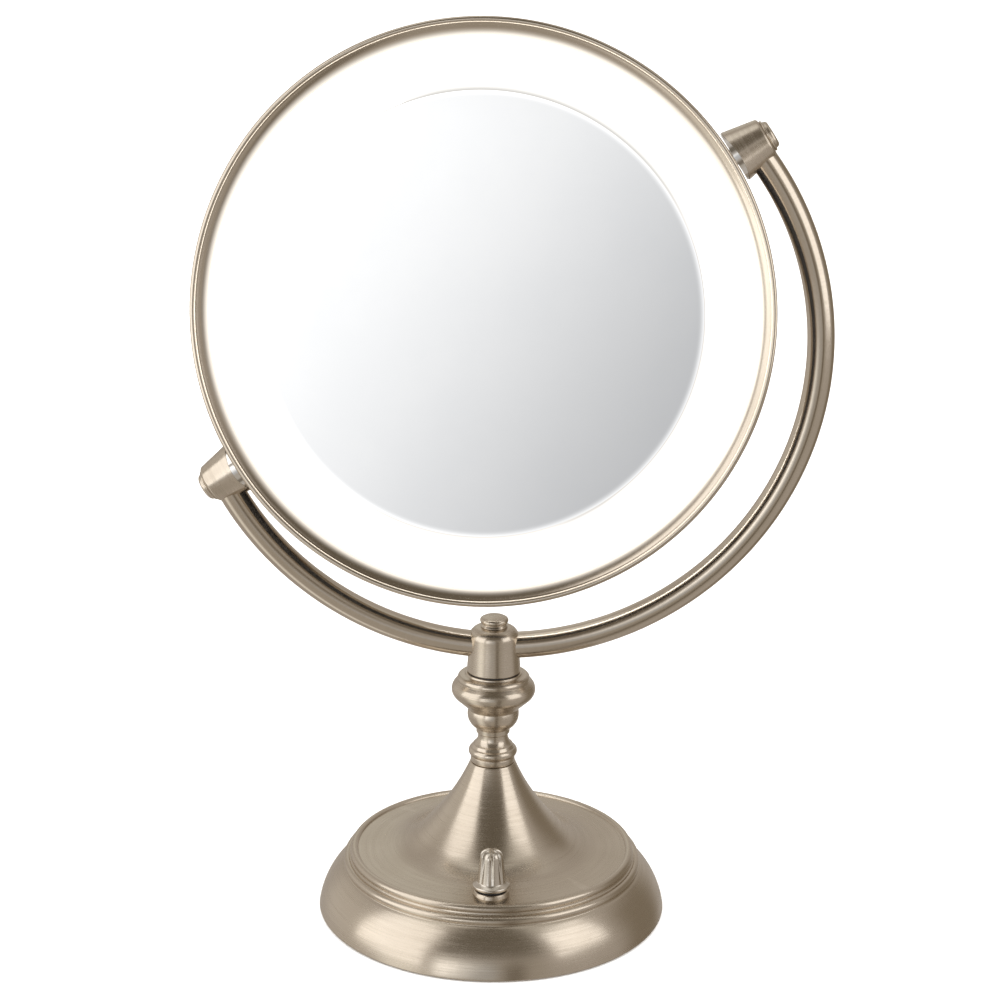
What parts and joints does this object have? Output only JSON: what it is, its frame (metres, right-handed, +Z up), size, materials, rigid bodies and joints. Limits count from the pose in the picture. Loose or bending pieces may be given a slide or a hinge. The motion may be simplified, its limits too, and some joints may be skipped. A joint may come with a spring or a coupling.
{
  "type": "lighted vanity mirror",
  "caption": "Tabletop round two-sided mirror with a lit halo ring, pivoting in a C-shaped arm on a turned post and a weighted round base with a dimmer knob.",
  "frame": {"origin": "centre of the resting face of the foot pad, under the post", "axes": "+Z up along the post, -Y towards the person at the mirror, +X to that person's right hand side of the picture, where the higher pivot is"},
  "size_m": [0.239, 0.1356, 0.3461],
  "materials": {
    "brushed_nickel": "satin brushed nickel plate, warm grey",
    "polished_chrome": "polished chrome plate",
    "silvered_glass": "silvered glass",
    "frosted_acrylic": "frosted acrylic, lit from behind",
    "lit_led": "white LED, lit",
    "white_plastic": "moulded white ABS",
    "black_plastic": "moulded black plastic",
    "circuit_board": "solder mask on laminate",
    "plated_steel": "zinc plated",
    "pipe_brass": "machined",
    "weight_iron": "as cast, painted",
    "foot_rubber": "fine matte foam rubber",
    "lead_sheath": "wire insulation"
  },
  "bodies": {
    "stand": {"base_shell": "brushed_nickel", "base_weight": "weight_iron", "bottom_plate": "plated_steel", "foot_pad": "foot_rubber", "bottom_screws": "plated_steel", "driver_board": "circuit_board", "driver_components": "black_plastic", "board_standoffs": "pipe_brass", "board_screws": "plated_steel", "dimmer_body": "plated_steel", "dimmer_collar": "black_plastic", "power_inlet": "black_plastic", "inlet_pin": "pipe_brass", "inlet_nut": "plated_steel", "supply_lead": "lead_sheath", "post_lead": "lead_sheath", "turned_post": "brushed_nickel", "post_washer": "black_plastic", "threaded_pipe": "pipe_brass", "pipe_nut": "pipe_brass", "pipe_washer": "plated_steel", "clamp_bell": "brushed_nickel", "clamp_finial": "brushed_nickel", "support_arm": "brushed_nickel", "arm_lead": "lead_sheath", "knuckle_left": "brushed_nickel", "knuckle_right": "brushed_nickel", "knuckle_cap_left": "brushed_nickel", "knuckle_cap_right": "brushed_nickel", "pivot_washer_left": "polished_chrome", "pivot_washer_right": "polished_chrome", "friction_washer_left": "plated_steel", "friction_washer_right": "plated_steel"},
    "head": {"front_bezel": "brushed_nickel", "rear_bezel": "brushed_nickel", "head_band": "black_plastic", "mirror_chassis": "white_plastic", "front_mirror": "silvered_glass", "rear_mirror": "silvered_glass", "front_diffuser": "frosted_acrylic", "rear_diffuser": "frosted_acrylic", "led_board": "circuit_board", "front_leds": "lit_led", "rear_leds": "lit_led", "head_lead": "lead_sheath", "pivot_stud_left": "polished_chrome", "pivot_stud_right": "polished_chrome", "stud_nut_left": "pipe_brass", "stud_nut_right": "pipe_brass", "lock_nut_left": "pipe_brass", "lock_nut_right": "pipe_brass"},
    "knob": {"dimmer_knob": "brushed_nickel", "dimmer_shaft": "pipe_brass"}
  },
  "joints": [
    {"name": "head_tilt", "type": "hinge", "parent": "stand", "child": "head", "pos_m": [-0.00541, 0, 0.23772], "axis": [0.8368, 0, 0.5476], "range_deg": [-180, 180]},
    {"name": "dimmer_turn", "type": "hinge", "parent": "stand", "child": "knob", "pos_m": [0, -0.0426, 0.0271], "axis": [0, 0, 1], "range_deg": [0, 290]}
  ]
}
